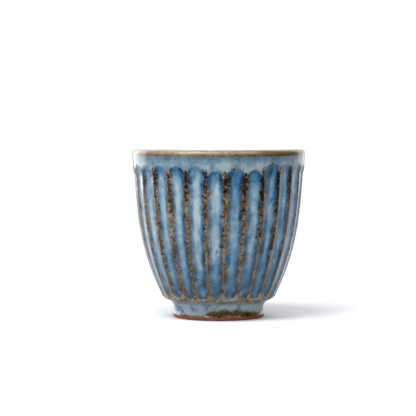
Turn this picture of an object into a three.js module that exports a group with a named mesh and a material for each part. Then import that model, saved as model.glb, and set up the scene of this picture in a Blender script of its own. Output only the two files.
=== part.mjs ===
// A ribbed teacup: a thrown stoneware wall with flutes cut down its outside, a foot ring luted under
// its floor, and coats of glaze fused over the clay. Millimetres, +Z up. The origin is the centre of
// the face that the foot rests on.
import * as THREE from "three";

// Thrown wall, over the glaze and before the flutes are cut
const CUP_HEIGHT = 81.4;
const RIM_RADIUS = 42;
const RIM_FLARE_DEG = 3; // lean of the wall below the lip
const RIM_PULL = 29; // length of wall that keeps near that lean
const WAIST_RADIUS = 27.7; // sharp edge where the wall turns in above the foot
const WAIST_FLARE_DEG = 26.4;
const WAIST_PULL = 25.9;

// Foot, from the resting face up to the waist
const FOOT_EDGE = 1.1; // rounding of the outer bottom edge
const BARE_BAND = 0.8; // bare clay between that rounding and the glaze
const NECK_RISE = 2.1; // from the glaze line to the narrowest place
const UNDERSIDE_RISE = 5.8; // from there to the waist
const WAIST_STEP = 6.1; // the neck is this much narrower than the waist, in radius
const NECK_PULL = 2.6;
const UNDERSIDE_SLOPE_DEG = 21; // slope of the turned underside at the waist, from level
const UNDERSIDE_PULL = 5.25;
const UNDERSIDE_SHARE = 0.8; // share of the underside that the foot's coat covers
const FOOT_FLARE = 0.5; // the bare foot is this much wider than the neck, in radius
const FOOT_WIDTH = 4.4;
const FOOT_INNER_EDGE = 0.5; // bevel of the inner bottom edge
const SEAT_DROP = 2.8; // the foot ring is luted to a flat seat this far below the waist

// Clay and glaze
const CLAY_BEHIND_FLUTES = 2;
const LIP_CLAY = 1.6;
const FLOOR_CLAY = 4.5;
const INSIDE_ROUND = 9; // size of the rounding between the inside wall and the floor
const GLAZE = 0.7;
const FUSE_GAP = 0.2; // left between solids that are fused together on the real cup

// Flutes, cut with a loop tool that lifts out below the rim
const FLUTE_COUNT = 27;
const FLUTE_LOOP_RADIUS = 10; // round of the loop across a flute
const FLUTE_LAND = 0.4; // the ridges lie this far below the thrown wall
const FLUTE_LIFT_RADIUS = 9; // swing of the tool as it lifts
const LIP_BAND = 3.1; // height of the brown band at the rim
const PLAIN_BAND = 4.5; // uncut wall between that band and the flute tops
const RIDGE_AZIMUTH_DEG = 4; // one ridge stands here, from the front towards +X

// Fineness of the facets
const STEPS_PER_FLUTE = 4;
const PLAIN_STEPS_PER_FLUTE = 2;
const WALL_ROWS = 5;
const LIFT_ROWS = 4;
const NECK_ROWS = 2;
const UNDERSIDE_ROWS = 4;
const LIP_ROWS = 4;
const INSIDE_ROWS = 4;
const ROUND_ROWS = 3;
const EDGE_ROWS = 2;

const FLUTED_STEPS = STEPS_PER_FLUTE * FLUTE_COUNT;
const PLAIN_STEPS = PLAIN_STEPS_PER_FLUTE * FLUTE_COUNT;
const COAT = GLAZE + FUSE_GAP;
const LIP_THICKNESS = LIP_CLAY + 2 * COAT;
const NECK_RADIUS = WAIST_RADIUS - WAIST_STEP;
const FOOT_RADIUS = NECK_RADIUS + FOOT_FLARE;
const FOOT_BORE = FOOT_RADIUS - FOOT_WIDTH;

const GLAZE_LEVEL = FOOT_EDGE + BARE_BAND;
const NECK_LEVEL = GLAZE_LEVEL + NECK_RISE;
const WAIST_LEVEL = NECK_LEVEL + UNDERSIDE_RISE;
const SEAT_LEVEL = WAIST_LEVEL - SEAT_DROP;
const FLOOR_LEVEL = SEAT_LEVEL + FLOOR_CLAY + COAT;
const LIP_LEVEL = CUP_HEIGHT - LIP_THICKNESS / 2; // the round of the lip springs from here
const BAND_LEVEL = CUP_HEIGHT - LIP_BAND;
const FLUTE_TOP = BAND_LEVEL - PLAIN_BAND;

const { degToRad, lerp, smoothstep } = THREE.MathUtils;
const point = (r, z) => new THREE.Vector2(r, z);

// A stretch of the given length that leans from upright
function leaning(degrees, length) {
  return point(length * Math.sin(degToRad(degrees)), length * Math.cos(degToRad(degrees)));
}

// Curves of the glazed surface in the plane of radius and height
const waist = point(WAIST_RADIUS, WAIST_LEVEL);
const rim = point(RIM_RADIUS, LIP_LEVEL);
const neck = point(NECK_RADIUS, NECK_LEVEL);
const wall = new THREE.CubicBezierCurve(
  waist,
  waist.clone().add(leaning(WAIST_FLARE_DEG, WAIST_PULL)),
  rim.clone().sub(leaning(RIM_FLARE_DEG, RIM_PULL)),
  rim,
);
const footFlare = new THREE.QuadraticBezierCurve(
  point(FOOT_RADIUS, GLAZE_LEVEL),
  point(NECK_RADIUS, (GLAZE_LEVEL + NECK_LEVEL) / 2),
  neck,
);
const underside = new THREE.CubicBezierCurve(
  neck,
  point(NECK_RADIUS, NECK_LEVEL + NECK_PULL),
  waist.clone().sub(leaning(90 - UNDERSIDE_SLOPE_DEG, UNDERSIDE_PULL)),
  waist,
);
const lip = new THREE.ArcCurve(RIM_RADIUS - LIP_THICKNESS / 2, LIP_LEVEL, LIP_THICKNESS / 2, 0, Math.PI);

// A row is one ring of a surface. On the glaze it also has its normal, the level at which the flutes
// are cut into it and its drop for each millimetre of cut. A row with no level stays round.
function ring(r, z) {
  return { r, z, nr: 0, nz: 1, level: null, drop: 0 };
}

function rowOn(curve, t) {
  const { x, y } = curve.getPoint(t);
  const tangent = curve.getTangent(t);
  return { ...ring(x, y), nr: tangent.y, nz: -tangent.x };
}

function rowsOn(curve, count, end = 1) {
  return Array.from({ length: count + 1 }, (_, i) => rowOn(curve, (end * i) / count));
}

// Levels from just past one height up or down to another
function levels(from, to, count) {
  return Array.from({ length: count }, (_, i) => lerp(from, to, (i + 1) / count));
}

// Place along the wall's curve at a height, found by halving
function wallPlace(height) {
  let low = 0;
  let high = 1;
  while (high - low > 1e-9) {
    const middle = (low + high) / 2;
    if (wall.getPoint(middle).y < height) low = middle;
    else high = middle;
  }
  return low;
}

function wallRadius(height) {
  return wall.getPoint(wallPlace(height)).x;
}

function wallRow(height) {
  return { ...rowOn(wall, wallPlace(height)), level: height };
}

// Depth that the loop cuts below its ridges
function hollowDepth(height) {
  const pitch = (2 * Math.PI * wallRadius(height)) / FLUTE_COUNT;
  return pitch ** 2 / (8 * FLUTE_LOOP_RADIUS);
}

const LIFT_LEVEL = FLUTE_TOP - Math.sqrt(2 * FLUTE_LIFT_RADIUS * (FLUTE_LAND + hollowDepth(FLUTE_TOP)));

// Depth cut away below the thrown wall. The place across a flute runs from 0 on its axis to 1 on a ridge.
function fluteCut(height, across) {
  const hollow = hollowDepth(height) * (1 - across ** 2);
  const lift = Math.max(0, height - LIFT_LEVEL) ** 2 / (2 * FLUTE_LIFT_RADIUS);
  return Math.max(0, FLUTE_LAND + hollow - lift);
}

// Inside of the cup: a level thickness behind the thrown wall, drawn in above the flutes to the lip
function insidePoint(height) {
  const full = FLUTE_LAND + hollowDepth(height) + CLAY_BEHIND_FLUTES + 2 * COAT;
  const thickness = lerp(full, LIP_THICKNESS, smoothstep(height, LIFT_LEVEL, LIP_LEVEL));
  return point(wallRadius(height) - thickness, height);
}

const roundTop = insidePoint(FLOOR_LEVEL + INSIDE_ROUND);
const roundCorner = insidePoint(FLOOR_LEVEL);
const insideWall = new THREE.SplineCurve(
  [BAND_LEVEL, ...levels(BAND_LEVEL, roundTop.y, INSIDE_ROWS)].map(insidePoint),
);
const insideRound = new THREE.QuadraticBezierCurve(
  roundTop,
  roundCorner,
  point(roundCorner.x - INSIDE_ROUND, FLOOR_LEVEL),
);

// Rows of the glazed surface, from the bare line on the foot up to the lip, then down inside to the
// middle of the floor
const footRows = [
  ...rowsOn(footFlare, NECK_ROWS),
  ...rowsOn(underside, UNDERSIDE_ROWS, UNDERSIDE_SHARE).slice(1),
];
const wallRows = [
  footRows.at(-1),
  { ...wallRow(WAIST_LEVEL), drop: Math.tan(degToRad(UNDERSIDE_SLOPE_DEG)) },
  ...levels(WAIST_LEVEL, LIFT_LEVEL, WALL_ROWS).map(wallRow),
  ...levels(LIFT_LEVEL, FLUTE_TOP, LIFT_ROWS).map(wallRow),
  wallRow(BAND_LEVEL),
];
const linerRows = [
  ...rowsOn(insideWall, INSIDE_ROWS),
  ...rowsOn(insideRound, ROUND_ROWS).slice(1),
  ring(0, FLOOR_LEVEL),
];
const lipRows = [wallRows.at(-1), ...rowsOn(lip, LIP_ROWS), linerRows[0]];

// The same rows, sunk into the cup by a depth
function sunk(rows, depth) {
  return rows.map((row) => ({ ...row, r: row.r - depth * row.nr, z: row.z - depth * row.nz }));
}

// A stretch of rows with its ends drawn in along the surface. An end on the axis stays there.
function drawnIn(rows, gap) {
  const moved = (end, next) => {
    const share = end.r > 0 ? gap / Math.hypot(next.r - end.r, next.z - end.z) : 0;
    return { ...end, r: lerp(end.r, next.r, share), z: lerp(end.z, next.z, share) };
  };
  return [moved(rows[0], rows[1]), ...rows.slice(1, -1), moved(rows.at(-1), rows.at(-2))];
}

// Rising rows cut at a height, as the rows below it and the rows above it
function cutAt(rows, height) {
  const above = rows.findIndex((row) => row.z > height);
  const [low, high] = [rows[above - 1], rows[above]];
  const edge = ring(lerp(low.r, high.r, (height - low.z) / (high.z - low.z)), height);
  return { below: [...rows.slice(0, above), edge], above: [edge, ...rows.slice(above)] };
}

// Turns rows about the axis and cuts the flutes into those that have a level
function turned(rows, steps) {
  const start = degToRad(RIDGE_AZIMUTH_DEG);
  const geometry = new THREE.LatheGeometry(rows.map((row) => point(row.r, row.z)), steps, start);
  const position = geometry.getAttribute("position");
  for (let vertex = 0; vertex < position.count; vertex += 1) {
    const row = rows[vertex % rows.length];
    const column = Math.floor(vertex / rows.length) % steps;
    const flutes = (column * FLUTE_COUNT) / steps;
    const across = Math.abs(2 * (flutes - Math.floor(flutes)) - 1);
    const cut = row.level === null ? 0 : fluteCut(row.level, across);
    const angle = start + (2 * Math.PI * column) / steps;
    const radius = row.r - cut;
    position.setXYZ(vertex, radius * Math.sin(angle), row.z - cut * row.drop, radius * Math.cos(angle));
  }
  return geometry.rotateX(Math.PI / 2);
}

// A coat of glaze on a stretch of the surface. It is turned from the clay side, in the clay's own
// direction, so that both sides of the bond fall into the same triangles. That leaves it inside out,
// so its triangles are then turned round.
function coat(rows, steps) {
  const skin = drawnIn(rows, FUSE_GAP / 2);
  const back = sunk(skin, GLAZE);
  const geometry = turned([...back, ...skin.toReversed(), back[0]], steps);
  geometry.getIndex().array.reverse();
  return geometry;
}

const clayFoot = sunk(footRows, COAT);

// Thrown and fluted wall with its floor
function stonewareBody() {
  const clay = sunk([...wallRows, ...lipRows.slice(1), ...linerRows.slice(1)], COAT);
  const outline = [ring(0, SEAT_LEVEL), ...cutAt(clayFoot, SEAT_LEVEL).above, ...clay.slice(1)];
  return turned(outline, FLUTED_STEPS);
}

// Foot ring: bare at the bottom, glazed above, with a flat top under the floor
function footRing() {
  const edge = new THREE.ArcCurve(FOOT_RADIUS - FOOT_EDGE, FOOT_EDGE, FOOT_EDGE, -Math.PI / 2, 0);
  const top = SEAT_LEVEL - FUSE_GAP;
  const outline = [
    ring(FOOT_BORE, FOOT_INNER_EDGE),
    ring(FOOT_BORE + FOOT_INNER_EDGE, 0),
    ...rowsOn(edge, EDGE_ROWS),
    ...cutAt(clayFoot, top).below,
    ring(FOOT_BORE, top),
  ];
  return turned([...outline, outline[0]], PLAIN_STEPS);
}

// Glaze under the floor and down the inside of the foot ring
function baseGlaze() {
  const outer = FOOT_BORE - FUSE_GAP;
  const top = SEAT_LEVEL - FUSE_GAP;
  const outline = [
    ring(0, top - GLAZE),
    ring(outer - GLAZE, top - GLAZE),
    ring(outer - GLAZE, GLAZE_LEVEL),
    ring(outer, GLAZE_LEVEL),
    ring(outer, top),
    ring(0, top),
  ];
  return turned(outline, PLAIN_STEPS);
}

const STONEWARE = { color: 0x8a5a42, roughness: 0.9, metalness: 0 };
const BLUE_GLAZE = { color: 0x6f97b3, roughness: 0.2, metalness: 0 };
const PALE_GLAZE = { color: 0x93a9b5, roughness: 0.2, metalness: 0 };
const BROWN_GLAZE = { color: 0x7d6a4c, roughness: 0.25, metalness: 0 };

const cup = new THREE.Group();

function addPiece(name, geometry, finish) {
  const mesh = new THREE.Mesh(geometry, new THREE.MeshStandardMaterial(finish));
  mesh.name = name;
  cup.add(mesh);
}

addPiece("stoneware_body", stonewareBody(), STONEWARE);
addPiece("foot_ring", footRing(), STONEWARE);
addPiece("wall_glaze", coat(wallRows, FLUTED_STEPS), BLUE_GLAZE);
addPiece("lip_glaze", coat(lipRows, PLAIN_STEPS), BROWN_GLAZE);
addPiece("liner_glaze", coat(linerRows, PLAIN_STEPS), PALE_GLAZE);
addPiece("foot_glaze", coat(footRows, PLAIN_STEPS), PALE_GLAZE);
addPiece("base_glaze", baseGlaze(), PALE_GLAZE);

export default cup;
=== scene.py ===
"""Looks of the ribbed teacup: thrown stoneware with flutes cut freely down its wall, under a reactive
blue glaze that breaks to brown where it is thin. Lengths are in millimetres until a mesh is made."""

import math

import bmesh
import bpy
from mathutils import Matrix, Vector, geometry, noise


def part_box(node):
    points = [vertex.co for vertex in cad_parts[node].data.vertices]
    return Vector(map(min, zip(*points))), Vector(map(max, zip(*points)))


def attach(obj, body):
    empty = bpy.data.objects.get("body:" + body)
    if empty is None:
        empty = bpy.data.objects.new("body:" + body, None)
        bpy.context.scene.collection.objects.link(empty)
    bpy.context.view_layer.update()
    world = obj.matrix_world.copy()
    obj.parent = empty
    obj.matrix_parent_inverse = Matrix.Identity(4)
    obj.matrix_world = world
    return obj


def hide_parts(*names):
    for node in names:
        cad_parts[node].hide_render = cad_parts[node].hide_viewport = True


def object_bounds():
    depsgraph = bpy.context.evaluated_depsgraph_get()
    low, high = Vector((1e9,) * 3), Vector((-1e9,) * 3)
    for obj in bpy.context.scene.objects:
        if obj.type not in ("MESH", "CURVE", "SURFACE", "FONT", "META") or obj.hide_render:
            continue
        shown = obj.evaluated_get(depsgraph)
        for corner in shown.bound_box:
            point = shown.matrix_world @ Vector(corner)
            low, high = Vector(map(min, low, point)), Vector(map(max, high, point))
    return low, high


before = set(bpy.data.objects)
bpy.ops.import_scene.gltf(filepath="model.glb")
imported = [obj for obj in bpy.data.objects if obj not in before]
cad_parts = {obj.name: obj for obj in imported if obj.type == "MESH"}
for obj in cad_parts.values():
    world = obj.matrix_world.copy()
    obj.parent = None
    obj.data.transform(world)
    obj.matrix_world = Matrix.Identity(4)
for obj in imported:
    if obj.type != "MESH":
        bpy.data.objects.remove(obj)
CAD_LOW, CAD_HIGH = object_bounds()
MM = 0.001

# Sizes that the frame shows
CUP_HEIGHT = CAD_HIGH.z / MM
RIM_RADIUS = min(CAD_HIGH.x, CAD_HIGH.y, -CAD_LOW.x, -CAD_LOW.y) / MM
BAND_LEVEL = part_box("lip_glaze")[0].z / MM  # top of the wall's coat
SEAT_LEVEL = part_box("stoneware_body")[0].z / MM  # where the body stands on the foot ring
GLAZE_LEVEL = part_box("base_glaze")[0].z / MM  # the foot is bare clay below this
FOOT_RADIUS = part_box("foot_ring")[1].x / MM

# Thrown wall and lip. A pull is how far a curve is drawn along its end.
RIM_PULL = Vector((1.5, 29.0))
WAIST_RADIUS = 27.7
WAIST_LEVEL = 9.8
WAIST_PULL = Vector((11.5, 23.2))
WAIST_ROUND = 1.1
WALL_THICKNESS = 5.3
LIP_THICKNESS = 3.4
LIP_LEVEL = CUP_HEIGHT - LIP_THICKNESS / 2
RIM_SAG = 0.65  # front and back of the rim are this much lower than its sides
FLOOR_LEVEL = 12.4
INSIDE_ROUND = 9.0

# Foot and the recess under the floor
NECK_RADIUS = 21.6
NECK_LEVEL = 4.0
NECK_PULL = Vector((0.0, 2.6))
UNDERSIDE_PULL = Vector((4.9, 1.88))
UNDERSIDE_SLOPE = 0.38  # drop for each millimetre inwards
UNDERSIDE_SPLIT = 25.0  # radius where the wall's coat meets the foot's
FOOT_WIDTH = 4.4
FOOT_EDGE = 1.1
FOOT_INNER_EDGE = 0.5
FOOT_PULL = Vector((-0.35, 0.8))
FOOT_NECK_PULL = Vector((0.0, 0.8))
RECESS_ROUND = 1.5
RECESS_RINGS = (0, 4, 8, 12)

# Coats and flutes
GLAZE = 0.7  # thickness of a coat
COAT = 0.9  # the same with its gap to the clay
FLUTE_COUNT = 27
FLUTE_ANGLE = math.tau / FLUTE_COUNT
FIRST_RIDGE = math.radians(4)
FLUTE_LEAN = math.radians(1.1)  # turn of a flute from the foot to the lip
UPRIGHT_SHARE = 0.4  # share of the height where the lean is nothing
LOOP_RADIUS = 10.0  # of the cutting loop
LAND = 0.4  # depth of the cut at the ridges
LIFT_LEVEL = 68.5  # above this the loop was lifted out along an arc
LIFT_RADIUS = 9.0
FLUTE_TOP = 73.8
ARCH_HEIGHT = 4.0
ARCH_WIDTH = 0.86  # share of the flute
RIDGE_ROUND = 0.25
AXIS_WANDER = 0.05
WANDER_LENGTH = 25.0
FLUTE_SPREAD = 7.3  # keeps one flute's wander unlike the next one's
GRIT_DEPTH = 0.12

# Each flute has its own habits. From the left edge of the front round to the right: how far its arched
# top stands above or below the usual level, how far the deep blue runs down from it, how full the glaze
# lies in it, and how much of it broke away along the edge of the top.
FLUTES = [
    (0.2, 5, 1.00, 0.2), (0.0, 5, 1.00, 0.3), (-0.3, 9, 0.87, 0.2), (0.3, 8, 0.95, 0.0),
    (0.2, 11, 1.00, 0.3), (0.0, 8, 1.03, 0.5), (-1.9, 11, 1.01, 0.9), (-0.9, 42, 0.97, 1.0),
    (-1.4, 12, 0.94, 0.5), (1.5, 9, 0.88, 1.0), (1.1, 7, 0.74, 0.7), (1.0, 5, 0.77, 0.3),
    (0.8, 5, 0.88, 0.2),
]
FRONT_LEFT_FLUTE = -7

# Dark blue drips: azimuth from the front in degrees, level, half width and half height
DRIPS = [
    (-25.7, 72.6, 1.3, 1.0), (-1.4, 34, 1.0, 1.6), (15, 50, 0.8, 3.0), (39.4, 58, 0.7, 1.6),
    (45.3, 50, 0.8, 2.4),
]
DRIP_DEPTH = 0.45

# What a mesh tells the glaze at each vertex: how thick it lies as a share of the fullest, which also
# carries painted shade on the band's right end, the flutes' lower parts and some flanks, and a painted
# highlight on the foot's right; how far it has run off the clay; how dark it fired there, with painted
# shade added on the lip and the lower left ridges; and how milky it is
QUALITIES = ("glaze", "bare", "fire_and_shade", "milk")

# Fineness of the meshes: columns of faces across one flute, and steps along the outlines
FINE = 20
PLAIN = 10
WALL_STEPS = 130
UNDERSIDE_STEPS = 40
FOOT_STEPS = 14
LIP_STEPS = 20
BOWL_STEPS = 24
FLOOR_STEPS = 20
EDGE_STEPS = 8
SIDE_STEPS = 6
BEND_STEPS = 10
MERGE_DISTANCE = 0.001
SHARP_ANGLE = math.radians(60)


def mix(low, high, share):
    return low + (high - low) * share


def smooth(low, high, value):
    """0 below low and 1 above high, eased in between."""
    share = min(1.0, max(0.0, (value - low) / (high - low)))
    return share * share * (3 - 2 * share)


def right_of(angle, low, high):
    """0 left of a share of the cup's half width and 1 right of another, seen from the front."""
    return smooth(low, high, math.sin(angle))


def waver(angle, radius, level, size):
    """Slow random wander over the cup's surface, between about -1 and 1, with lumps of a given size."""
    return noise.noise(Vector((radius * math.sin(angle), radius * math.cos(angle), level)) / size)


# Outlines: lines of points in the plane of radius and height


def curve(start, start_pull, end_pull, end, steps):
    """Points from start to end that leave along start_pull and arrive along end_pull."""
    return geometry.interpolate_bezier(start, start + start_pull, end - end_pull, end, steps + 1)


def arc(centre, radius, first, last, steps):
    """Points of an arc; its angles are in degrees from straight out."""
    turns = [math.radians(mix(first, last, i / steps)) for i in range(steps + 1)]
    return [centre + radius * Vector((math.cos(t), math.sin(t))) for t in turns]


def sunk(line, depth):
    """The line moved to its left, which is into the cup."""
    moved = []
    for before, here, after in zip(line[:1] + line[:-1], line, line[1:] + line[-1:]):
        along = (after - before).normalized()
        moved.append(here + depth * Vector((-along.y, along.x)))
    return moved


def coat_outline(skin, keep):
    """Round a coat of glaze: along its skin and back along its clay side, where every keep-th point is
    enough."""
    return skin + sunk(skin[:-1:keep] + skin[-1:], GLAZE)[::-1]


def clipped(line, part, low, high):
    """The stretch of a line between two values of one of its coordinates, cut exactly there."""
    kept = []
    for here, after in zip(line, line[1:]):
        span = after[part] - here[part]
        if low <= here[part] <= high:
            kept.append(here)
        for border in (low, high) if span > 0 else (high, low):
            if 0 < (border - here[part]) * span < span * span:
                kept.append(here.lerp(after, (border - here[part]) / span))
    if low <= line[-1][part] <= high:
        kept.append(line[-1])
    return kept


WAIST = Vector((WAIST_RADIUS, WAIST_LEVEL))
RIM = Vector((RIM_RADIUS, LIP_LEVEL))
NECK = Vector((NECK_RADIUS, NECK_LEVEL))
FOOT_TOP = Vector((FOOT_RADIUS, GLAZE_LEVEL))
LIP_CENTRE = Vector((RIM_RADIUS - LIP_THICKNESS / 2, LIP_LEVEL))
WALL_LINE = curve(WAIST, WAIST_PULL, RIM_PULL, RIM, WALL_STEPS)
UNDERSIDE_LINE = curve(NECK, NECK_PULL, UNDERSIDE_PULL, WAIST, UNDERSIDE_STEPS)
FOOT_LINE = curve(FOOT_TOP, FOOT_PULL, FOOT_NECK_PULL, NECK, FOOT_STEPS)
LIP_LINE = arc(LIP_CENTRE, LIP_THICKNESS / 2, 0, 180, LIP_STEPS)


def inside_point(outside):
    """Inside of the cup behind a point of the thrown wall."""
    drawn = smooth(LIFT_LEVEL, LIP_LEVEL, outside.y)
    return Vector((outside.x - mix(WALL_THICKNESS, LIP_THICKNESS, drawn), outside.y))


INSIDE_WALL = [inside_point(p) for p in WALL_LINE if p.y > FLOOR_LEVEL + INSIDE_ROUND][::-1]
FLOOR_CENTRE = Vector((0, FLOOR_LEVEL))
FLOOR_EDGE = Vector((INSIDE_WALL[-1].x - 1.25 * INSIDE_ROUND, FLOOR_LEVEL))
BOWL_PULL = 0.5 * INSIDE_ROUND * Vector((-0.4, -1))
FLOOR_PULL = 0.55 * INSIDE_ROUND * Vector((-1, 0))
INSIDE_FLOOR = curve(INSIDE_WALL[-1], BOWL_PULL, FLOOR_PULL, FLOOR_EDGE, BOWL_STEPS)
FLOOR_LINE = [FLOOR_EDGE.lerp(FLOOR_CENTRE, i / FLOOR_STEPS) for i in range(1, FLOOR_STEPS + 1)]


def inside_radius(level):
    """Radius of the clay's inner face at a level."""
    for outside in WALL_LINE[1:]:
        if outside.y >= level:
            break
    return inside_point(outside).x + COAT


def wall_skin():
    """Up from the foot's coat, round the waist and up the wall to the lip."""
    under = clipped(UNDERSIDE_LINE, 0, UNDERSIDE_SPLIT, WAIST_RADIUS - WAIST_ROUND)
    wall = clipped(WALL_LINE, 1, WAIST_LEVEL + WAIST_ROUND, BAND_LEVEL)
    bend = curve(under[-1], 0.6 * (WAIST - under[-1]), 0.6 * (wall[0] - WAIST), wall[0], BEND_STEPS)
    return under + bend[1:-1] + wall


def lip_skin():
    """Over the lip, from the wall's coat to the inside's."""
    outside = clipped(WALL_LINE, 1, BAND_LEVEL, LIP_LEVEL)
    return outside + LIP_LINE[1:-1] + clipped(INSIDE_WALL, 1, BAND_LEVEL, LIP_LEVEL)


def liner_skin():
    """Down the inside and along the floor to the axis."""
    return clipped(INSIDE_WALL, 1, 0, BAND_LEVEL) + INSIDE_FLOOR[1:] + FLOOR_LINE


def foot_skin():
    """From the bare clay up round the neck to the wall's coat."""
    return FOOT_LINE + clipped(UNDERSIDE_LINE, 0, NECK_RADIUS, UNDERSIDE_SPLIT)[1:]


def base_outline():
    """Round the coat in the recess."""
    outer = FOOT_RADIUS - FOOT_WIDTH
    inner = outer - GLAZE
    roof = SEAT_LEVEL - GLAZE
    skin = [Vector((radius, roof)) for radius in RECESS_RINGS]
    corner = Vector((inner - RECESS_ROUND, roof - RECESS_ROUND))
    skin += arc(corner, RECESS_ROUND, 90, 0, EDGE_STEPS) + [Vector((inner, GLAZE_LEVEL))]
    clay_side = [Vector((outer, GLAZE_LEVEL)), Vector((outer, SEAT_LEVEL)), Vector((0, SEAT_LEVEL))]
    return skin + clay_side


def foot_ring_outline():
    """Round the ring of clay, bare below and sunk under its coat above."""
    bore = FOOT_RADIUS - FOOT_WIDTH
    bottom = [Vector((bore, FOOT_INNER_EDGE)), Vector((bore + FOOT_INNER_EDGE, 0))]
    edge = arc(Vector((FOOT_RADIUS - FOOT_EDGE, FOOT_EDGE)), FOOT_EDGE, -90, 0, EDGE_STEPS)
    levels = [mix(FOOT_EDGE, GLAZE_LEVEL, i / SIDE_STEPS) for i in range(1, SIDE_STEPS + 1)]
    side = [Vector((FOOT_RADIUS, level)) for level in levels]
    glazed = [p for p in sunk(foot_skin(), COAT) if p.y < SEAT_LEVEL]
    return bottom + edge + side + glazed + [Vector((bore, SEAT_LEVEL))]


def body_outline():
    """Round the clay of the body, sunk under every coat. The clay is hidden, so few points are enough."""
    neck = [p for p in sunk(foot_skin(), COAT) if p.y > SEAT_LEVEL]
    skin = wall_skin()[::4] + lip_skin()[::3] + liner_skin()[::4] + [FLOOR_CENTRE]
    return [Vector((0, SEAT_LEVEL)), Vector((neck[0].x, SEAT_LEVEL))] + neck[:-1] + sunk(skin, COAT)


# Flutes and glaze


def flute_habit(flute):
    """The flute's own top, the length of its deep blue, its fullness and its broken edge."""
    return FLUTES[(flute - FRONT_LEFT_FLUTE) % FLUTE_COUNT % len(FLUTES)]


def flute_cut(angle, radius, level):
    """Depth cut below the thrown wall, which is negative above the flutes, the way across from a ridge
    (0) to the axis of its flute (1), the flute's number, and whether that ridge is at its right."""
    lean = FLUTE_LEAN * (level / CUP_HEIGHT - UPRIGHT_SHARE)
    place = (angle - FIRST_RIDGE - lean) / FLUTE_ANGLE
    hollow = (radius * FLUTE_ANGLE) ** 2 / (8 * LOOP_RADIUS)
    cuts = []
    for flute in range(math.floor(place) - 1, math.floor(place) + 2):
        apart = FLUTE_SPREAD * (flute % FLUTE_COUNT)
        wander = noise.noise(Vector((apart, 0.5, level / WANDER_LENGTH)))
        across = 2 * (place - flute) - 1 + AXIS_WANDER * wander
        lift = max(0, level - LIFT_LEVEL - flute_habit(flute)[0]) ** 2 / (2 * LIFT_RADIUS)
        cuts.append((LAND + hollow * (1 - across * across) - lift, flute))
    (second, beside), (deepest, flute) = sorted(cuts)[1:]
    rounded = (deepest + second + math.hypot(deepest - second, RIDGE_ROUND)) / 2
    return rounded, min(1, (deepest - second) / (4 * hollow)), flute, beside > flute


def flute_head(angle, level, inward, rise):
    """The arched top of a flute, which the band's coat hangs down round: how far a point is below the
    tip and below the coat's sagging edge, where the arch's side stands, and how far in the point is."""
    tip = FLUTE_TOP + rise - level
    sag = tip + 1.1 * waver(angle, RIM_RADIUS, 0, 6)
    up = 1 - min(max(tip, 0), ARCH_HEIGHT) / ARCH_HEIGHT
    side = 1 - ARCH_WIDTH * math.sqrt(1 - up**2)
    within = mix(smooth(side - 0.12, side + 0.08, inward), 1, smooth(2.5, 5.0, sag))
    return tip, sag, side, within


def flute_coat(angle, level, inward, flute, at_right, tip, wander):
    """Thickness in a flute: deep blue under its tip and beside its ridges, fuller between, and darker
    towards its foot, partly pooled deep glaze and partly painted shade. On the right of the cup the flank
    by a flute's left ridge stays deep further in, which is painted shade.
    """
    _, deep, full, _ = flute_habit(flute)
    height = level - WAIST_LEVEL
    run = smooth(0, deep, tip + 4 * waver(angle, RIM_RADIUS, 0.15 * level, 1.8))
    # Darker towards the foot: partly pooled deep glaze, partly painted shade
    flow = mix(0.53, full * mix(0.58, 0.92, run), smooth(0, 32, height))
    # On the right of the cup, flanks by a left ridge stay deep further in: painted shade
    full_at = 0.86 if at_right else mix(0.97, 1.3, right_of(angle, 0.3, 0.65))
    thick = mix(0.36, flow, smooth(0.1, full_at, inward + 0.1 * wander))
    uneven = 0.05 + 0.32 * waver(angle, WAIST_RADIUS, level, 2.4)
    return thick - (1 - smooth(2, 12, height)) * uneven


def band_coat(angle, level):
    """Thickness on the plain band over the flutes: cloudy, thinner along its top, and darker at the right
    end, which is painted shade.
    """
    strip = smooth(BAND_LEVEL - 4.2, BAND_LEVEL - 0.6, level + 0.8 * waver(angle, RIM_RADIUS, 3, 4))
    clouds = 0.44 * waver(angle, RIM_RADIUS, 0.8 * level, 5) + 0.3 * waver(angle, RIM_RADIUS, level, 2)
    # The drop at the right end is painted shade
    return mix(0.76 + clouds, 0.5 + 0.4 * clouds, strip) - 0.24 * right_of(angle, 0.6, 0.88)


def drip_depth(angle, level):
    """How much thinner the coat is in the dark blue drips."""
    depth = 0
    for azimuth, middle, wide, tall in DRIPS:
        aside = (angle - math.radians(azimuth)) * RIM_RADIUS / wide
        depth += DRIP_DEPTH * max(0, 1 - math.hypot(aside, (level - middle) / tall))
    return depth


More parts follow.
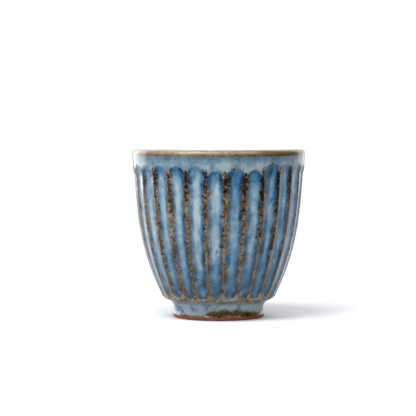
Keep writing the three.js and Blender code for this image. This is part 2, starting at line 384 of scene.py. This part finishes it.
def ridge_wear(angle, level, inward, at_right, sag, wander):
    """How far the glaze has run off a ridge and its flanks, and how dark it fired there, with painted
    shadow on the lower left ridges.
    """
    upper = smooth(20, 66, level)
    leftward = right_of(-angle, 0.1, 0.6)
    bare = max(0, 1 - inward / mix(0.48, 0.57, upper)) ** 1.4 * smooth(0.5, 2.8, sag)
    if bare > 0:
        bare += 0.35 * waver(angle, RIM_RADIUS, 0.6 * level, 3.2)
    bare *= mix(mix(0.36, 0.75, leftward), 0.75, smooth(10, 28, level)) + 0.25 * upper
    fire_and_shade = mix(0.25, 0.52, smooth(28, 62, level)) + 0.27 * smooth(56, 67, level)
    fire_and_shade += 0.3 * right_of(angle, 0.2, 0.7) * smooth(22, 50, level)
    # Darker on the lower left ridges, which is painted shadow, and a little lighter on the upper left
    fire_and_shade += mix(0.2, -0.1, smooth(18, 55, level)) * leftward
    fire_and_shade = min(fire_and_shade, 0.8)

    # The flanks that face the front are the most worn, part of the way round to the cup's sides
    facing = math.sin(angle) if at_right else -math.sin(angle)
    worn = smooth(0.3, 0.5, facing) * (1 - smooth(0.76, 0.87, facing))
    if at_right:
        worn *= smooth(34, 54, level)
        reach = mix(0.8, 0.56, worn)
        scorch = mix(0.36, 0.72, worn * smooth(44, 66, level))
        shed = mix(0.24, 0.8, worn)
    else:
        worn *= smooth(8, 22, level)
        reach = mix(0.8, 0.68, worn)
        scorch = mix(0.2, 0.34, worn)
        shed = mix(mix(0.37, 0.1, right_of(angle, 0.3, 0.65)), 0.64, worn)
    flank = smooth(0.08, 0.3, inward) * (1 - smooth(reach - 0.4, reach, inward)) * smooth(2.0, 4.5, sag)
    fire_and_shade = mix(fire_and_shade, scorch, flank * (1 - 0.6 * smooth(58, 67, level)))
    return max(bare, (shed + 0.2 * wander) * flank), fire_and_shade


def wall_glaze(angle, level, cut, inward, flute, at_right):
    """The qualities of the glaze on the wall."""
    rise, _, _, broken = flute_habit(flute)
    height = level - WAIST_LEVEL
    tip, sag, side, within = flute_head(angle, level, inward, rise)
    in_flute = smooth(0.0, 0.14, cut) * within
    wander = waver(angle, RIM_RADIUS, 0.5 * level, 2.4)
    fluted = flute_coat(angle, level, inward, flute, at_right, tip, wander)
    glaze = mix(band_coat(angle, level), fluted, in_flute) - drip_depth(angle, level)
    milk = mix(0.52, 0.22 * (1 - smooth(3, 24, height)), in_flute)
    bare, fire_and_shade = ridge_wear(angle, level, inward, at_right, sag, wander)

    # Broken edge along the arched top
    arch = smooth(-0.3, 0.0, cut) * (1 - smooth(0.1, 0.45, cut)) * smooth(side - 0.2, side, inward)
    border = 4 * within * (1 - within) * smooth(0.02, 0.2, cut)
    edge = max(arch, border) * (1 - smooth(2.5, 4, tip))
    fire_and_shade = mix(fire_and_shade, 0.22, edge)
    ragged = smooth(-0.6, 0.1, waver(angle, RIM_RADIUS, level, 4))
    bare = max(bare, edge * mix(0.2, 0.85, broken) * ragged)

    # Thin grey line under the lip
    thin = smooth(BAND_LEVEL - 1.4, BAND_LEVEL - 0.1, level + 0.4 * waver(angle, RIM_RADIUS, 9, 2.5))
    glaze -= 0.13 * thin
    bare = max(bare, 0.24 * thin)
    fire_and_shade = mix(fire_and_shade, 0.2, thin)

    # Tan line just above the waist, with a point at the foot of each ridge
    top = 1.6 + 2.2 * max(0, 1 - inward / 0.4) + 0.5 * waver(angle, WAIST_RADIUS, 0, 2)
    line = smooth(0.1, 0.6, height) * (1 - smooth(top - 0.5, top + 0.4, height))
    bare = max(bare, 0.84 * line)
    fire_and_shade = mix(fire_and_shade, 0.18, line)

    # Milky and partly run off under the waist
    under = 1 - smooth(-0.4, 0.6, height)
    glaze = mix(glaze, 0.7, under)
    bare = mix(bare, 0.46, under)
    fire_and_shade = mix(fire_and_shade, 0.3, under)
    milk = mix(milk, 0.45, under)
    return glaze, bare, fire_and_shade, milk


# Where each piece's vertices go, and the qualities of the glaze there


def moved_out(radius, way):
    """The radius moved outwards, with a point on the axis kept there."""
    return max(0, radius + way) if radius > 0.01 else 0


def on_wall(angle, radius, level):
    """The wall's coat: fluted down to the waist, then round again under it."""
    cut, inward, flute, at_right = flute_cut(angle, radius, max(level, WAIST_LEVEL))
    qualities = wall_glaze(angle, level, cut, inward, flute, at_right)
    cut = max(0, cut) * smooth(UNDERSIDE_SPLIT, WAIST_RADIUS - 0.4, radius)
    drop = cut * UNDERSIDE_SLOPE * (1 - smooth(0, 2, level - WAIST_LEVEL))
    rough = GRIT_DEPTH * smooth(0.2, 0.7, qualities[1]) * waver(angle, radius, level, 0.9)
    rough *= smooth(0, 1, level - WAIST_LEVEL)
    return (radius - cut + rough, level - drop), qualities


def on_lip(angle, radius, level):
    """The thin brown glaze of the lip, with the wall's blue creeping up to it, darker on its lower half
    and towards its right end, which is painted shade.
    """
    rise = level - BAND_LEVEL
    creep = 0.3 * waver(angle, RIM_RADIUS, 0, 3) + 0.25 * waver(angle, RIM_RADIUS, 9, 1.2)
    clear = smooth(-0.4, 0.8, rise + creep * smooth(0, 0.4, rise))
    bare = mix(0.64, 0.92, smooth(0.9, 2.4, rise)) * clear
    # Painted shade: the lip's lower half and its right side are darker, and its right end darker still
    right = right_of(angle, -0.5, 0.8)
    fire_and_shade = mix(mix(0.52, 0.78, right), mix(0.18, 0.44, right), smooth(0.3, 1.7, rise + creep))
    fire_and_shade += 0.12 * waver(angle, radius, level, 14) + 0.25 * right_of(angle, 0.75, 0.95)
    dent = 0.08 * (waver(angle, RIM_RADIUS, level, 6) - 1) * smooth(0, 1.5, rise)
    return (radius + dent, level + dent), (0.47, bare, fire_and_shade, 0.55)


def on_liner(angle, radius, level):
    """The coat inside, with the rings that throwing left."""
    ring = 0.12 * math.sin(level * 0.9 + angle) * smooth(FLOOR_LEVEL + 4, FLOOR_LEVEL + 14, level)
    ring *= 1 - smooth(LIFT_LEVEL - 4, LIFT_LEVEL + 4, level)
    pooled = 1 - smooth(FLOOR_LEVEL, FLOOR_LEVEL + 8, level)
    glaze = mix(mix(0.82, 0.6, pooled), 0.47, smooth(BAND_LEVEL - 4, BAND_LEVEL, level))
    return (moved_out(radius, ring), level), (glaze, 0.0, 0.5, 0.4)


def on_foot(angle, radius, level):
    """The pooled coat on the foot, with a dark rolled edge above the bare clay."""
    rise = level - GLAZE_LEVEL
    low = 1 - smooth(0, NECK_LEVEL - GLAZE_LEVEL + 1.5, rise)
    under = smooth(WAIST_LEVEL - 3.6, WAIST_LEVEL - 1.0, level)

    creep = 0.6 * waver(angle, NECK_RADIUS, 0, 9) + 0.25 * waver(angle, NECK_RADIUS, 5, 2.5) - 0.25
    lump = 0.16 * waver(angle, NECK_RADIUS, level, 4) * (1 - low)
    lump += 0.1 * waver(angle, NECK_RADIUS, level, 1)
    bead = 0.1 * (1 - smooth(0, 1.2, rise))

    fired = mix(2.3, 1.2, right_of(angle, 0.45, 0.9)) * right_of(angle, -0.4, -0.12)
    fired += 0.9 * waver(angle, NECK_RADIUS, 20, 5) - 0.2
    dark = 1 - smooth(-0.3, 2.0, rise - fired)
    pools = 0.96 + 0.7 * waver(angle, NECK_RADIUS, 0.4 * level, 4)
    pools += 0.4 * waver(angle, NECK_RADIUS, level, 2)
    # The right side is paler, partly milky pooled glaze and partly painted highlight
    glaze = mix(max(0.66, pools) + 0.2 * right_of(angle, 0.2, 0.7), 0.78, under)
    bare = max(0.46 * under, dark)
    fire_and_shade = mix(0.3, 0.56, dark * dark) + 0.2 * dark * waver(angle, NECK_RADIUS, level, 1.1)
    milk = mix(0.1, 0.4, under)
    return (radius + lump * (1 - under) + bead, level + creep * low), (glaze, bare, fire_and_shade, milk)


def on_base(angle, radius, level):
    """The even coat in the recess."""
    return (radius, level), (0.7, 0.0, 0.5, 0.4)


def on_clay(angle, radius, level):
    """Bare clay, with the fine lines of the turning tool and no glaze."""
    turning = 0.05 * math.sin(level * 9) + 0.08 * waver(angle, radius, level, 3) - 0.08
    return (moved_out(radius, turning), level), ()


def on_body(angle, radius, level):
    """Clay under the wall's coat, fluted as the coat is."""
    cut = 0.0
    if level >= WAIST_LEVEL and radius > inside_radius(level) + 0.5:
        cut = max(0, flute_cut(angle, radius, level)[0])
    return (radius - cut, level), ()


# Meshes


def spun(outline, columns):
    """An outline swept through one flute, and that wedge repeated all round the cup."""
    shape = bmesh.new()
    section = [shape.verts.new((0, -p.x * MM, p.y * MM)) for p in outline]
    pairs = zip(section, section[1:] + section[:1])
    sides = [shape.edges.new(pair) for pair in pairs if any(v.co.y for v in pair)]
    turn = {"axis": (0, 0, 1), "cent": (0, 0, 0)}
    bmesh.ops.spin(shape, geom=section + sides, angle=FLUTE_ANGLE, steps=columns, **turn)
    wedge = shape.verts[:] + shape.edges[:] + shape.faces[:]
    rest = FLUTE_COUNT - 1
    bmesh.ops.spin(shape, geom=wedge, angle=rest * FLUTE_ANGLE, steps=rest, use_duplicate=True, **turn)
    bmesh.ops.remove_doubles(shape, verts=shape.verts, dist=MERGE_DISTANCE * MM)
    bmesh.ops.recalc_face_normals(shape, faces=shape.faces)
    return shape


def sculpt(shape, place):
    """Moves every vertex to where place() puts it, sags the rim, and notes the glaze there."""
    layers = [shape.verts.layers.float.new(name) for name in QUALITIES]
    for vertex in shape.verts:
        x, y, z = vertex.co / MM
        angle = math.atan2(x, -y)
        (radius, level), qualities = place(angle, math.hypot(x, y), z)
        level -= RIM_SAG * math.cos(angle) ** 2 * (z / CUP_HEIGHT) ** 3
        vertex.co = MM * Vector((radius * math.sin(angle), -radius * math.cos(angle), level))
        for layer, quality in zip(layers, qualities):
            vertex[layer] = quality


def piece(name, shape, node, material):
    """Makes the shape an object that stands for a node of the frame."""
    mesh = bpy.data.meshes.new(name)
    shape.to_mesh(mesh)
    shape.free()
    mesh.shade_smooth()
    mesh.set_sharp_from_angle(angle=SHARP_ANGLE)
    mesh.materials.append(material)
    made = bpy.data.objects.new(name, mesh)
    bpy.context.scene.collection.objects.link(made)
    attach(made, "root")
    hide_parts(node)


# Materials


def linear(hex_colour):
    """Linear colour of an sRGB hex value."""
    parts = [int(hex_colour[i : i + 2], 16) / 255 for i in (1, 3, 5)]
    return [c / 12.92 if c <= 0.04045 else ((c + 0.055) / 1.055) ** 2.4 for c in parts] + [1.0]


def per_mm(size):
    """Texture scale that gives marks of a size in millimetres."""
    return 1 / (size * MM)


def add(tree, kind, inputs=None, stops=(), **settings):
    """Adds a node, sets its properties and colour stops, and fills its sockets or links them to other
    nodes."""
    node = tree.nodes.new("ShaderNode" + kind)
    for name, value in settings.items():
        setattr(node, name, value)
    for position, _ in stops[2:]:
        node.color_ramp.elements.new(position)
    for index, (position, colour) in enumerate(stops):
        node.color_ramp.elements[index].position = position
        node.color_ramp.elements[index].color = linear(colour)
    for socket, value in (inputs or {}).items():
        source = value.outputs[0] if isinstance(value, bpy.types.Node) else value
        if isinstance(source, bpy.types.NodeSocket):
            tree.links.new(source, node.inputs[socket])
        else:
            node.inputs[socket].default_value = value
    return node


def new_material(name):
    """An empty material and its node tree."""
    made = bpy.data.materials.new(name)
    made.use_nodes = True
    made.node_tree.nodes.clear()
    return made, made.node_tree


# Blue of the reactive glaze from where it starts to cover the clay to where it pools: dark slate, deep
# blue and milky blue
BLUES = [
    (0.28, "#17242e"), (0.38, "#22425b"), (0.48, "#276492"), (0.61, "#4d81a4"), (0.80, "#83a3b7"),
    (1.00, "#b2c6d0"),
]
# Browns where it has run off, from the most iron to the least: black, olive, ochre and tan
BROWNS = [
    (0.00, "#0a0805"), (0.20, "#221909"), (0.38, "#523f20"), (0.55, "#6f5d3f"), (0.75, "#8e7e66"),
    (1.00, "#b0a492"),
]
# The same where the iron fired red
RUSTS = [
    (0.00, "#0c0704"), (0.20, "#281706"), (0.38, "#5e3f18"), (0.55, "#7a5b31"), (0.75, "#937b56"),
    (1.00, "#aea28b"),
]
MILK = linear("#82969b")
IRON_SPOT = linear("#110d0a")
CLAY_DARK = linear("#8a4a2e")
CLAY_PALE = linear("#bd7850")
CLAY_SPECK = linear("#3a2318")


def reactive_glaze(name, grit):
    """A glossy stoneware glaze rich in iron: brown and gritty where it ran off the edges, blue where it
    is thick and milky where it pooled, with vertical runs, mottling and dark specks of iron."""
    material, tree = new_material(name)
    place = add(tree, "TexCoord").outputs["Object"]
    glaze, bare, fire_and_shade, milk = [
        add(tree, "Attribute", attribute_name=quality).outputs["Fac"] for quality in QUALITIES
    ]
    tall = add(tree, "Mapping", {"Vector": place, "Scale": (1, 1, 0.2)})
    short = add(tree, "Mapping", {"Vector": place, "Scale": (1, 1, 0.85)})

    # Marks between about -1 and 1: what they follow, their size in millimetres and their detail
    marks = [(tall, 2.6, 2), (place, 4, 4), (short, 2.6, 2), (short, 1.0, 2), (place, 3, 0)]
    runs, mottle, blotches, specks, peel = [
        add(tree, "TexNoise", {"Vector": way, "Scale": per_mm(size), "Detail": detail}, normalize=False)
        for way, size, detail in marks
    ]

    # Blue that pales with its thickness, and with the painted shade and highlight that the glaze quality
    # carries
    thick = add(tree, "Math", {0: runs, 1: 0.15 * grit, 2: glaze}, operation="MULTIPLY_ADD")
    thick = add(tree, "Math", {0: mottle, 1: 0.07 + 0.06 * grit, 2: thick}, operation="MULTIPLY_ADD")
    blue = add(tree, "ValToRGB", {0: thick}, BLUES)
    blue = add(tree, "Mix", {0: milk, 6: blue, 7: MILK}, data_type="RGBA").outputs[2]

    # Brown that darkens where it fired more and where shade is painted into it, redder in blotches
    light = add(tree, "Math", {0: 1.0, 1: fire_and_shade}, operation="SUBTRACT")
    light = add(tree, "Math", {0: specks, 1: -0.47 * grit, 2: light}, operation="MULTIPLY_ADD")
    light = add(tree, "Math", {0: blotches, 1: -0.2 * grit, 2: light}, operation="MULTIPLY_ADD")
    light = add(tree, "Math", {0: mottle, 1: 0.2 * grit, 2: light}, operation="MULTIPLY_ADD")
    brown = add(tree, "ValToRGB", {0: light}, BROWNS)
    rust = add(tree, "ValToRGB", {0: light}, RUSTS)
    red = add(tree, "MapRange", {0: blotches, 1: -0.15, 2: 0.4, 3: 0.0, 4: grit})
    brown = add(tree, "Mix", {0: red, 6: brown, 7: rust}, data_type="RGBA").outputs[2]

    # Brown in place of blue, with a speckled border
    run_off = add(tree, "Math", {0: specks, 1: 0.3 * grit, 2: bare}, operation="MULTIPLY_ADD")
    run_off = add(tree, "Math", {0: blotches, 1: 0.2 * grit, 2: run_off}, operation="MULTIPLY_ADD")
    run_off = add(tree, "MapRange", {0: run_off, 1: 0.12, 2: 0.72})
    colour = add(tree, "Mix", {0: run_off, 6: blue, 7: brown}, data_type="RGBA").outputs[2]

    # Round iron spots in and near the brown, but not where it fired tan
    near = add(tree, "MapRange", {0: bare, 1: 0.1, 2: 0.5, 3: 0.0, 4: grit})
    burnt = add(tree, "MapRange", {0: fire_and_shade, 1: 0.2, 2: 0.4})
    near = add(tree, "Math", {0: near, 1: burnt}, operation="MULTIPLY")
    spots = add(tree, "TexVoronoi", {"Vector": place, "Scale": per_mm(2.4)})
    spots = add(tree, "MapRange", {0: spots, 1: 0.2, 2: 0.32, 3: 1.0, 4: 0.0})
    spots = add(tree, "Math", {0: spots, 1: near}, operation="MULTIPLY")
    colour = add(tree, "Mix", {0: spots, 6: colour, 7: IRON_SPOT}, data_type="RGBA").outputs[2]

    # Glossy and faintly rippled, grainy where it is brown
    roughness = add(tree, "MapRange", {0: run_off, 1: 0, 2: 1, 3: 0.1, 4: 0.1 + 0.06 * grit})
    height = add(tree, "Math", {0: specks, 1: run_off}, operation="MULTIPLY")
    height = add(tree, "Math", {0: height, 1: 0.4 * grit}, operation="MULTIPLY")
    height = add(tree, "Math", {0: peel, 1: 0.15, 2: height}, operation="MULTIPLY_ADD")
    bump = add(tree, "Bump", {"Height": height, "Strength": 0.5, "Distance": 0.25 * MM})
    finish = {"Base Color": colour, "Roughness": roughness, "Normal": bump, "IOR": 1.5}
    add(tree, "OutputMaterial", {0: add(tree, "BsdfPrincipled", finish)})
    return material


def red_stoneware():
    """Bare stoneware fired red-brown: matt and grainy, with dark specks of iron."""
    material, tree = new_material("red_stoneware")
    place = add(tree, "TexCoord").outputs["Object"]
    blush = add(tree, "TexNoise", {"Vector": place, "Scale": per_mm(5), "Detail": 4})
    grog = add(tree, "TexNoise", {"Vector": place, "Scale": per_mm(0.6), "Detail": 3})
    colour = add(tree, "Mix", {0: blush, 6: CLAY_DARK, 7: CLAY_PALE}, data_type="RGBA").outputs[2]
    speck = add(tree, "MapRange", {0: grog, 1: 0.36, 2: 0.46, 3: 0.7, 4: 0.0})
    colour = add(tree, "Mix", {0: speck, 6: colour, 7: CLAY_SPECK}, data_type="RGBA").outputs[2]
    bump = add(tree, "Bump", {"Height": grog, "Strength": 0.6, "Distance": 0.2 * MM})
    finish = {"Base Color": colour, "Roughness": 0.8, "Normal": bump}
    add(tree, "OutputMaterial", {0: add(tree, "BsdfPrincipled", finish)})
    return material


def make_cup():
    """The clay and its coats, each in place of its node."""
    blue = reactive_glaze("blue_reactive_glaze", 1.0)
    brown = reactive_glaze("brown_lip_glaze", 0.25)
    pale = reactive_glaze("pale_pooled_glaze", 0.6)
    clay = red_stoneware()
    makings = [
        ("wall_coat", coat_outline(wall_skin(), 5), FINE, on_wall, "wall_glaze", "blue_glaze", blue),
        ("lip_coat", coat_outline(lip_skin(), 3), FINE, on_lip, "lip_glaze", "brown_glaze", brown),
        ("liner_coat", coat_outline(liner_skin(), 4), PLAIN, on_liner, "liner_glaze", "pale_glaze", pale),
        ("foot_coat", coat_outline(foot_skin(), 4), FINE, on_foot, "foot_glaze", "pale_glaze", pale),
        ("base_coat", base_outline(), PLAIN, on_base, "base_glaze", "pale_glaze", pale),
        ("clay_foot", foot_ring_outline(), PLAIN, on_clay, "foot_ring", "stoneware", clay),
        ("clay_body", body_outline(), PLAIN, on_body, "stoneware_body", "stoneware", clay),
    ]
    for name, outline, columns, place, node, slot, material in makings:
        shape = spun(outline, columns)
        sculpt(shape, place)
        piece(name, shape, node, material)


# Studio, in metres and watts. The camera's frame is in pixels.

FRAME_SIZE = 416
FOCAL_PIXELS = 1605
AXIS_PIXEL = 218.65
HORIZON_PIXEL = 142.2
CAMERA_DISTANCE = 0.78
CAMERA_HEIGHT = 0.0848
SENSOR = 36.0

# Azimuth from the front towards +X and elevation in degrees, width, height and watts
LAMPS = {
    "left_softbox": (-43, 58, 0.55, 0.8, 9.6),
    "right_softbox": (43, 58, 0.5, 0.7, 3.9),
    "left_back_panel": (-134, 5, 0.7, 0.9, 4.2),
    "right_back_panel": (144, 5, 0.45, 0.9, 1.0),
}
LAMP_DISTANCE = 0.9
LAMP_AIM = Vector((0, 0, 0.04))

# Where the white sweep behind the cup starts and where it is full, as the Y of a direction, its glow, and
# the glow of the front, which is lower in reflections
SWEEP_START = 0.2
SWEEP_FULL = 0.85
SWEEP_GLOW = 0.8
FRONT_GLOW = 0.1
MIRRORED_FRONT = 0.05

# Floor: its reach, where it fades to white, the half width of its change from front to back, and its
# colour to the eye, as it lights the cup, and in reflections
FLOOR_REACH = 3.0
FADE_START = 0.06
FADE_END = 0.4
FLOOR_MIDDLE = 0.06
FLOOR_SEEN = linear("#fafafc")
FLOOR_LIGHTING = linear("#ccccce")
FLOOR_MIRRORED = linear("#5c5c5e")
WHITE = (1, 1, 1, 1)


def make_camera():
    """A camera just above the rim's level that puts the cup where the photograph has it."""
    data = bpy.data.cameras.new("camera")
    data.sensor_width = SENSOR
    data.lens = SENSOR * FOCAL_PIXELS / FRAME_SIZE
    camera = bpy.data.objects.new("camera", data)
    camera.location = (0, -CAMERA_DISTANCE, CAMERA_HEIGHT)
    down = math.atan((FRAME_SIZE / 2 - HORIZON_PIXEL) / FOCAL_PIXELS)
    left = math.atan((AXIS_PIXEL - FRAME_SIZE / 2) / FOCAL_PIXELS)
    camera.rotation_euler = (math.pi / 2 - down, 0, left)
    bpy.context.scene.collection.objects.link(camera)
    bpy.context.scene.camera = camera


def softbox(name, azimuth, elevation, width, height, watts):
    """A soft lamp aimed at the cup."""
    data = bpy.data.lights.new(name, "AREA")
    data.shape = "RECTANGLE"
    data.size = width
    data.size_y = height
    data.energy = watts
    lamp = bpy.data.objects.new(name, data)
    turn = math.radians(azimuth)
    rise = math.radians(elevation)
    aim = Vector((math.sin(turn) * math.cos(rise), -math.cos(turn) * math.cos(rise), math.sin(rise)))
    lamp.location = LAMP_AIM + LAMP_DISTANCE * aim
    lamp.rotation_euler = aim.to_track_quat("Z", "Y").to_euler()
    bpy.context.scene.collection.objects.link(lamp)


def make_world():
    """A sweep behind the cup that is white to the eye and in reflections, and a dimmer front."""
    world = bpy.data.worlds.new("studio")
    world.use_nodes = True
    tree = world.node_tree
    tree.nodes.clear()
    path = add(tree, "LightPath").outputs
    way = add(tree, "TexCoord").outputs["Generated"]
    depth = add(tree, "SeparateXYZ", {0: way}).outputs["Y"]
    span = {0: depth, 1: SWEEP_START, 2: SWEEP_FULL}
    behind = add(tree, "MapRange", span, interpolation_type="SMOOTHSTEP")
    rays = {0: path["Is Glossy Ray"], 1: path["Is Transmission Ray"]}
    mirrored = add(tree, "Math", rays, operation="MAXIMUM")
    front = add(tree, "MapRange", {0: mirrored, 1: 0, 2: 1, 3: FRONT_GLOW, 4: MIRRORED_FRONT})
    sweep = add(tree, "MapRange", {0: mirrored, 1: 0, 2: 1, 3: SWEEP_GLOW, 4: 1.0})
    glow = add(tree, "MapRange", {0: behind, 1: 0, 2: 1, 3: front, 4: sweep})
    strength = add(tree, "Math", {0: glow, 1: path["Is Camera Ray"]}, operation="MAXIMUM")
    sky = add(tree, "Background", {"Color": WHITE, "Strength": strength})
    add(tree, "OutputWorld", {0: sky})
    bpy.context.scene.world = world


def pale_floor():
    """Pale matt floor that keeps the cup's shadow and fades to white away from it. Reflections show it
    white behind the cup and grey in front."""
    material, tree = new_material("pale_floor")
    place = add(tree, "TexCoord").outputs["Object"]
    away = add(tree, "VectorMath", {0: place}, operation="LENGTH").outputs["Value"]
    fade = add(tree, "MapRange", {0: away, 1: FADE_START, 2: FADE_END}, interpolation_type="SMOOTHSTEP")
    path = add(tree, "LightPath").outputs
    rays = {0: path["Is Glossy Ray"], 1: path["Is Transmission Ray"]}
    mirrored = add(tree, "Math", rays, operation="MAXIMUM")
    depth = add(tree, "SeparateXYZ", {0: place}).outputs["Y"]
    span = {0: depth, 1: -FLOOR_MIDDLE, 2: FLOOR_MIDDLE}
    behind = add(tree, "MapRange", span, interpolation_type="SMOOTHSTEP")
    seen = add(tree, "Math", {0: mirrored, 1: behind}, operation="MULTIPLY")
    seen = add(tree, "Math", {0: seen, 1: path["Is Camera Ray"]}, operation="MAXIMUM")
    fade = add(tree, "Math", {0: fade, 1: seen}, operation="MULTIPLY")
    dim = add(tree, "Mix", {0: mirrored, 6: FLOOR_LIGHTING, 7: FLOOR_MIRRORED}, data_type="RGBA")
    pale = add(tree, "Mix", {0: seen, 6: dim.outputs[2], 7: FLOOR_SEEN}, data_type="RGBA")
    matt = add(tree, "BsdfPrincipled", {"Base Color": pale.outputs[2], "Roughness": 0.9})
    white = add(tree, "Emission", {"Color": WHITE, "Strength": 1.0})
    blend = add(tree, "MixShader", {0: fade, 1: matt, 2: white})
    add(tree, "OutputMaterial", {0: blend})
    return material


def make_floor():
    """The disc that the cup stands on."""
    shape = bmesh.new()
    bmesh.ops.create_circle(shape, cap_ends=True, segments=96, radius=FLOOR_REACH)
    mesh = bpy.data.meshes.new("floor")
    shape.to_mesh(mesh)
    shape.free()
    mesh.materials.append(pale_floor())
    floor = bpy.data.objects.new("floor", mesh)
    bpy.context.scene.collection.objects.link(floor)


make_cup()
make_camera()
make_floor()
make_world()
for lamp_name, lamp_values in LAMPS.items():
    softbox(lamp_name, *lamp_values)
bpy.context.scene.view_settings.view_transform = "Standard"
